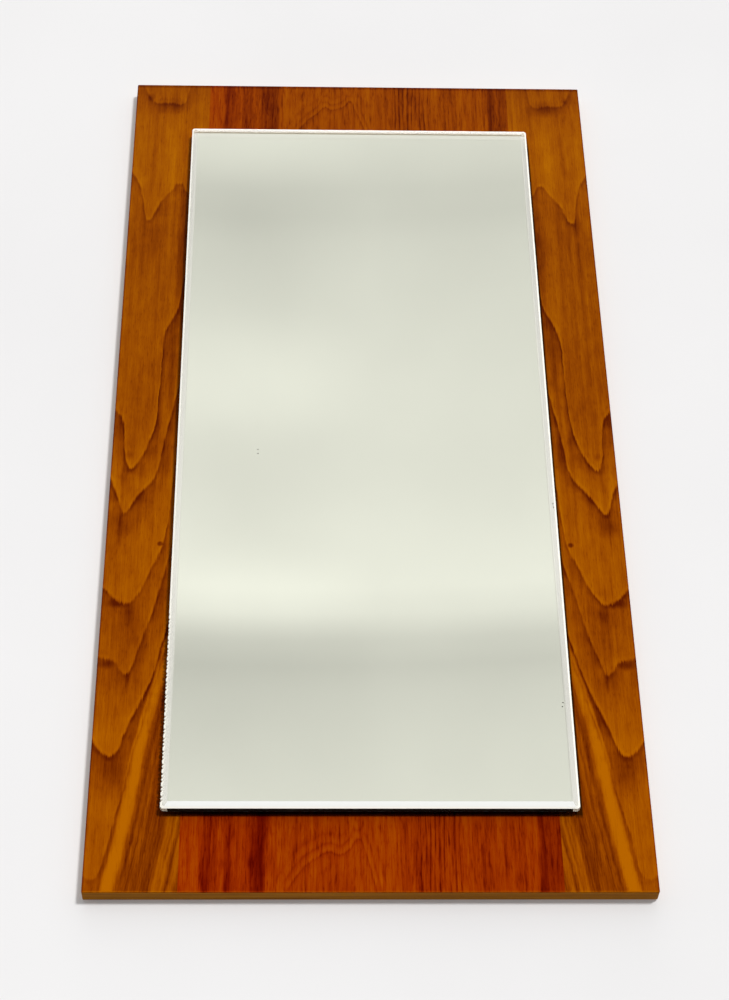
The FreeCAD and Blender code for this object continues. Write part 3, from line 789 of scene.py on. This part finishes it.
def glass_outline(inset, clip, chipped):
    """The outline of the glass, drawn in by an inset, from the lower edge up the left edge and round.
    The chips on the left come at uneven distances and depths, and are deeper lower down. They are cut
    to a share of their depth."""
    left, right = glass_low.x + inset, glass_high.x - inset
    bottom, top = glass_low.z + inset, glass_high.z - inset
    points = [(left + SHADED_EDGE_STOPS_SHORT, bottom), (left + clip, bottom), (left, bottom + clip)]
    for number in reversed(range(CHIPS)):
        uneven = (number * CHIP_SHUFFLE) % 1.0
        z = HIGHEST_CHIP - CHIP_SPACING * (number + 0.5 * uneven)
        bite = chipped * CHIP_DEPTH * (0.6 + 0.4 * number / CHIPS) * (0.7 + 0.3 * uneven)
        points += [(left, z - CHIP_HALF_LENGTH), (left + bite, z), (left, z + CHIP_HALF_LENGTH)]
    points += [(left, top - clip), (left + clip, top), (right - clip, top), (right, top - clip)]
    points += [(right, bottom + clip), (right - clip, bottom), (right - SHADED_EDGE_STOPS_SHORT, bottom)]
    return points


def made_mesh(name, shape):
    """A mesh from a finished shape, with its faces turned outwards."""
    bmesh.ops.recalc_face_normals(shape, faces=shape.faces[:])
    mesh = bpy.data.meshes.new(name)
    shape.to_mesh(mesh)
    shape.free()
    return mesh


def bevelled_glass(finishes):
    """The glass as rings of outline from its back to its front, closed by a flat face at either end.
    The finishes are listed by name, in the order of the mesh's materials."""
    land_y = front_y + BEVEL_DEPTH
    arris_y = land_y - BEVEL_DEPTH * FRONT_ARRIS_WIDTH / BEVEL_WIDTH
    levels = [
        (back_y, BACK_ARRIS, CORNER_CLIP, 1.0),
        (back_y - BACK_ARRIS, 0.0, CORNER_CLIP, 1.0),
        (land_y + FRONT_ARRIS_DEPTH, 0.0, CORNER_CLIP, 1.0),
        (arris_y, FRONT_ARRIS_WIDTH, CORNER_CLIP, 0.5),
        (front_y, BEVEL_WIDTH, FRONT_CORNER_CLIP, 0.0),
    ]
    names = ["edge", "edge", "arris", "bevel"]
    # Along the foot, a dark edge finish is painted shade and a whiter bevel finish is a painted highlight.
    lower_names = ["shaded edge", "shaded edge", "arris", "lower bevel highlight"]
    shape = bmesh.new()
    rings = []
    for y, inset, clip, chipped in levels:
        rings.append([shape.verts.new((x, y, z)) for x, z in glass_outline(inset, clip, chipped)])
    for level, (lower, upper) in enumerate(zip(rings, rings[1:])):
        for corners in zip(lower, lower[1:] + lower[:1], upper[1:] + upper[:1], upper):
            side = shape.faces.new(corners)
            middle = side.calc_center_median()
            between_corners = abs(middle.x) < glass_high.x - SHADED_EDGE_STOPS_SHORT
            at_foot = middle.z < glass_low.z + BEVEL_WIDTH and between_corners
            side.material_index = finishes.index((lower_names if at_foot else names)[level])
    shape.faces.new(rings[0])
    shape.faces.new(rings[-1])
    return made_mesh("bevelled_glass", shape)


# The whiter bevel copy and the dark edge copy are a painted highlight and painted shade along the foot.
glass_materials = {
    "flat": clear_glass("polished_plate_glass", "#f7fcf4", 1.0, WIPING_MARK_MM, (0.0, 0.02), (0.45, 0.8)),
    "bevel": clear_glass("ground_glass_bevel", "#fdfefb", 0.88, GRIT_MM, (0.08, 0.2), (0.0, 1.0)),
    "lower bevel highlight": clear_glass("white_highlight_glass_bevel", "#fdfefb", 0.1, GRIT_MM, (0.08, 0.2), (0.0, 1.0)),
    "edge": ground_edge("ground_glass_edge", "#f4f4ea", "#fdfbf4", 0.85),
    "shaded edge": ground_edge("shaded_glass_edge", "#0c0d09", "#1c1f16", 0.0),
    "arris": ground_edge("ground_glass_arris", "#f6f3e8", "#fdfaf0", 0.0),
}
glass = placed("bevelled_glass", bevelled_glass(list(glass_materials)))
for material in glass_materials.values():
    glass.data.materials.append(material)
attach(glass, "root")
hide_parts("mirror_glass")

# Mirror silvering
# Silver laid on the back of the glass by chemical plating, thinner than a hair. It has begun to darken in
# specks along its edges, where damp gets in. It lies a touch inside the glass, so that no gap shows.
SILVER_BURIED = 0.00003
SILVER_INSET = 0.0004
SPECK_MM = (1.4, 1.4)
SPECK_BAND_MM = 2.5
LONE_SPECKS = [  # place and radius in millimetres
    ((145.4, -72.6), 0.65), ((145.7, -76.0), 0.65), ((141.8, -252.2), 0.55), ((141.2, -255.6), 0.5),
    ((-84.4, -21.2), 0.5), ((-84.3, -25.2), 0.5),
]


def silver():
    """Bright silver, very slightly warm, with dark specks of tarnish in a narrow band along the edges."""
    material, tree, surface, millimetres = start_material("silvering", {"Metallic": 1.0})
    middle = 1000 * (glass_low + glass_high) / 2
    half = 1000 * (glass_high - glass_low) / 2
    shifted = add(tree, "ShaderNodeVectorMath", {0: millimetres, 1: middle}, operation="SUBTRACT")
    folded = add(tree, "ShaderNodeVectorMath", {0: shifted}, operation="ABSOLUTE")
    inward = add(tree, "ShaderNodeVectorMath", {0: half, 1: folded}, operation="SUBTRACT")
    margins = add(tree, "ShaderNodeSeparateXYZ", {0: inward}).outputs
    margin = add(tree, "ShaderNodeMath", {0: margins["X"], 1: margins["Z"]}, operation="MINIMUM")
    near = add(tree, "ShaderNodeMapRange", {
        "Value": margin, "From Min": 0.0, "From Max": SPECK_BAND_MM, "To Min": 0.2, "To Max": -0.2,
    })
    clouds = noise_of_size(tree, millimetres, SPECK_MM, Detail=3.0)
    damp = add(tree, "ShaderNodeMath", {0: clouds, 1: near}, operation="ADD")
    tarnish = add(tree, "ShaderNodeMapRange", {"Value": damp, "From Min": 0.72, "From Max": 0.8})
    for (x, z), radius in LONE_SPECKS:
        away = add(tree, "ShaderNodeVectorMath", {
            0: millimetres, 1: (x, 1000 * back_y, z),
        }, operation="DISTANCE")
        speck = add(tree, "ShaderNodeMapRange", {
            "Value": away.outputs["Value"], "From Min": 1.2 * radius, "From Max": 0.6 * radius,
        })
        tarnish = add(tree, "ShaderNodeMath", {0: tarnish, 1: speck}, operation="MAXIMUM")
    colours = add(tree, "ShaderNodeValToRGB", {0: tarnish}, stops=[(0.0, "#faf7ee"), (1.0, "#3a332a")])
    rough = add(tree, "ShaderNodeMapRange", {"Value": tarnish, "To Min": 0.01, "To Max": 0.6})
    tree.links.new(colours.outputs[0], surface.inputs["Base Color"])
    tree.links.new(rough.outputs[0], surface.inputs["Roughness"])
    return material


def silver_coat():
    """A thin closed plate with the outline of the glass, a little smaller."""
    silver_y = back_y - SILVER_BURIED
    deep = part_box("mirror_silvering")[1].y - silver_y
    outline = glass_outline(SILVER_INSET, CORNER_CLIP, 1.0)
    shape = bmesh.new()
    face = shape.faces.new([shape.verts.new((x, silver_y, z)) for x, z in outline])
    raised = bmesh.ops.extrude_face_region(shape, geom=[face])["geom"]
    moved = [part for part in raised if isinstance(part, bmesh.types.BMVert)]
    bmesh.ops.translate(shape, vec=(0.0, deep, 0.0), verts=moved)
    return made_mesh("silver_coat", shape)


coat = placed("silver_coat", silver_coat())
coat.data.materials.append(silver())
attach(coat, "root")
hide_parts("mirror_silvering")

# Wall and floor
# A plain white wall that the mirror hangs on and a plain pale floor below. They are only the stage.
# Seen from behind, the wall lets the view through, so that the back of the board can be looked at.
WALL_GAP = 0.0015
WALL_REACH = 3.0
WALL_GLOW = 0.17
ROLLER_MM = (300.0, 300.0)
FLOOR_DROP = 1.4
FLOOR_REACH = 200.0
FLOOR_MOTTLE_MM = (400.0, 400.0)


def painted_wall():
    """Matt white emulsion with a trace of roller texture, clear when it is seen from behind."""
    material, tree, surface, millimetres = start_material("white_wall_paint", {
        "Roughness": 0.9, "Specular IOR Level": 0.0,
        "Emission Color": linear("#ffffff"), "Emission Strength": WALL_GLOW,
    })
    roller = noise_of_size(tree, millimetres, ROLLER_MM, Detail=3.0)
    whites = add(tree, "ShaderNodeValToRGB", {0: roller}, stops=[(0.3, "#cecdcd"), (0.7, "#d2d1d1")])
    tree.links.new(whites.outputs[0], surface.inputs["Base Color"])
    behind = add(tree, "ShaderNodeNewGeometry").outputs["Backfacing"]
    clear = add(tree, "ShaderNodeBsdfTransparent")
    one_way = add(tree, "ShaderNodeMixShader", {0: behind, 1: surface.outputs[0], 2: clear})
    tree.links.new(one_way.outputs[0], tree.nodes["Material Output"].inputs["Surface"])
    return material


def pale_floor():
    """A pale seamless floor, matt with a faint mottle."""
    material, tree, surface, millimetres = start_material("pale_floor", {"Roughness": 0.8})
    mottle = noise_of_size(tree, millimetres, FLOOR_MOTTLE_MM, Detail=3.0)
    whites = add(tree, "ShaderNodeValToRGB", {0: mottle}, stops=[(0.3, "#cac9c6"), (0.7, "#cecdca")])
    tree.links.new(whites.outputs[0], surface.inputs["Base Color"])
    return material


def stage_sheet(name, corner, along, up, material):
    """A flat sheet from a corner along two sides, with its material."""
    corner, along, up = Vector(corner), Vector(along), Vector(up)
    mesh = bpy.data.meshes.new(name)
    mesh.from_pydata([corner, corner + along, corner + along + up, corner + up], [], [range(4)])
    mesh.materials.append(material)
    sheet = placed(name, mesh)
    return sheet


wall_corner = (-WALL_REACH, WALL_GAP, -FLOOR_DROP)
wall_height = FLOOR_DROP + WALL_REACH
wall = stage_sheet("wall", wall_corner, (2 * WALL_REACH, 0, 0), (0, 0, wall_height), painted_wall())
wall.visible_shadow = False
floor_corner = (-FLOOR_REACH, -FLOOR_REACH, -FLOOR_DROP)
floor = stage_sheet("floor", floor_corner, (2 * FLOOR_REACH, 0, 0), (0, 2 * FLOOR_REACH, 0), pale_floor())
floor.visible_diffuse = False

# Light
# A lamp to the right draws the shadow along the board. All round is soft light, in bands at the heights that
# the mirror shows, with a brighter and a darker patch to the left, and brighter where only the bevels look.
SKY_BANDS = [  # degrees above the horizon, and strength
    (-90.0, 0.04), (-12.0, 0.06), (-6.0, 0.1), (-0.5, 0.62), (4.0, 0.66), (11.0, 0.72), (18.0, 0.78),
    (27.0, 0.81), (29.4, 0.75), (30.8, 0.69), (32.0, 0.645), (33.4, 0.905), (34.8, 0.885), (37.4, 0.815),
    (40.0, 0.8), (42.7, 0.74), (44.0, 0.67), (45.6, 0.785), (50.0, 0.9), (62.0, 1.6), (90.0, 5.0),
]
LEFT_BANDS = [  # degrees above the horizon, and what is added to the left
    (27.0, 0.0), (31.0, -0.02), (32.4, 0.0), (33.4, 0.09), (35.0, 0.0), (37.4, -0.01), (38.8, 0.08),
    (40.0, 0.06), (41.4, -0.03), (42.7, -0.06), (44.0, -0.05), (45.4, 0.06), (50.0, 0.0),
]
# Degrees to the right of the mirror's middle line, and share of what is added there.
LEFT_SHARE = [(-12.0, 0.0), (-4.0, 0.8), (-1.5, 1.0), (2.5, 0.0)]
SKY_SIDES = [  # degrees to the right of the mirror's middle line, and share of the strength
    (-180.0, 1.0), (-120.0, 0.9), (-90.0, 0.7), (-70.0, 0.6), (-45.0, 0.7), (-20.0, 1.0), (-13.0, 1.08),
    (-6.0, 1.0), (0.0, 1.0), (10.0, 1.03), (14.0, 1.12), (25.0, 1.1), (45.0, 1.0), (70.0, 0.7),
    (90.0, 0.7), (120.0, 0.9), (180.0, 1.0),
]
CLOUD_SIZE = 0.09
CLOUD_CONTRAST = 0.035
LAMP_WAY = Vector((0.36, -1.0, 0.19))
LAMP_STRENGTH = 2.45
LAMP_SPREAD_DEGREES = 9.0

scene = bpy.context.scene
scene.view_settings.view_transform = "Standard"
world = bpy.data.worlds.new("studio")
world.use_nodes = True
scene.world = world
sky = world.node_tree
ways = add(sky, "ShaderNodeTexCoord").outputs["Generated"]
parts = add(sky, "ShaderNodeSeparateXYZ", {0: ways}).outputs
rise = add(sky, "ShaderNodeMath", {0: parts["Z"]}, operation="ARCSINE")
height = add(sky, "ShaderNodeMath", {0: rise}, operation="DEGREES")
forward = add(sky, "ShaderNodeMath", {0: parts["Y"], 1: -1.0}, operation="MULTIPLY")
swing = add(sky, "ShaderNodeMath", {0: parts["X"], 1: forward}, operation="ARCTAN2")
side = add(sky, "ShaderNodeMath", {0: swing}, operation="DEGREES")
bands = add(sky, "ShaderNodeFloatCurve", {"Value": height}, points=SKY_BANDS)
sides = add(sky, "ShaderNodeFloatCurve", {"Value": side}, points=SKY_SIDES)
left_bands = add(sky, "ShaderNodeFloatCurve", {"Value": height}, points=LEFT_BANDS)
left_share = add(sky, "ShaderNodeFloatCurve", {"Value": side}, points=LEFT_SHARE)
both = add(sky, "ShaderNodeMath", {0: left_bands, 1: left_share, 2: bands}, operation="MULTIPLY_ADD")
clouds = add(sky, "ShaderNodeTexNoise", {"Vector": ways, "Scale": 1 / CLOUD_SIZE, "Detail": 2.0})
cloudy = add(sky, "ShaderNodeMapRange", {
    "Value": clouds, "From Min": 0.3, "From Max": 0.7,
    "To Min": 1.0 - CLOUD_CONTRAST, "To Max": 1.0 + CLOUD_CONTRAST,
})
varied = add(sky, "ShaderNodeMath", {0: both, 1: cloudy}, operation="MULTIPLY")
glow = add(sky, "ShaderNodeMath", {0: varied, 1: sides}, operation="MULTIPLY")
sky.links.new(glow.outputs[0], sky.nodes["Background"].inputs["Strength"])
sky.nodes["Background"].inputs["Color"].default_value = linear("#ffffff")

lamp_data = bpy.data.lights.new("side_lamp", "SUN")
lamp_data.energy = LAMP_STRENGTH
lamp_data.angle = math.radians(LAMP_SPREAD_DEGREES)
lamp = placed("side_lamp", lamp_data)
lamp.rotation_mode = "QUATERNION"
lamp.rotation_quaternion = LAMP_WAY.to_track_quat("Z", "Y")
lamp.visible_glossy = False
lamp.visible_transmission = False

# Camera
# The viewpoint is below the mirror and close to its middle line, looking up along it.
CAMERA_PLACE = Vector((-0.04912, -1.36604, -1.05200))
CAMERA_AIM = Vector((-0.00054, -0.01197, -0.06502))
CAMERA_ROLL_DEGREES = -0.934
CAMERA_LENS_MM = 77.157
CAMERA_SENSOR_MM = 36.0

camera_data = bpy.data.cameras.new("camera")
camera_data.sensor_width = CAMERA_SENSOR_MM
camera_data.lens = CAMERA_LENS_MM
camera = placed("camera", camera_data)
camera.location = CAMERA_PLACE
camera.rotation_mode = "QUATERNION"
level = (CAMERA_AIM - CAMERA_PLACE).to_track_quat("-Z", "Y")
camera.rotation_quaternion = level @ Quaternion((0.0, 0.0, 1.0), math.radians(CAMERA_ROLL_DEGREES))
scene.camera = camera
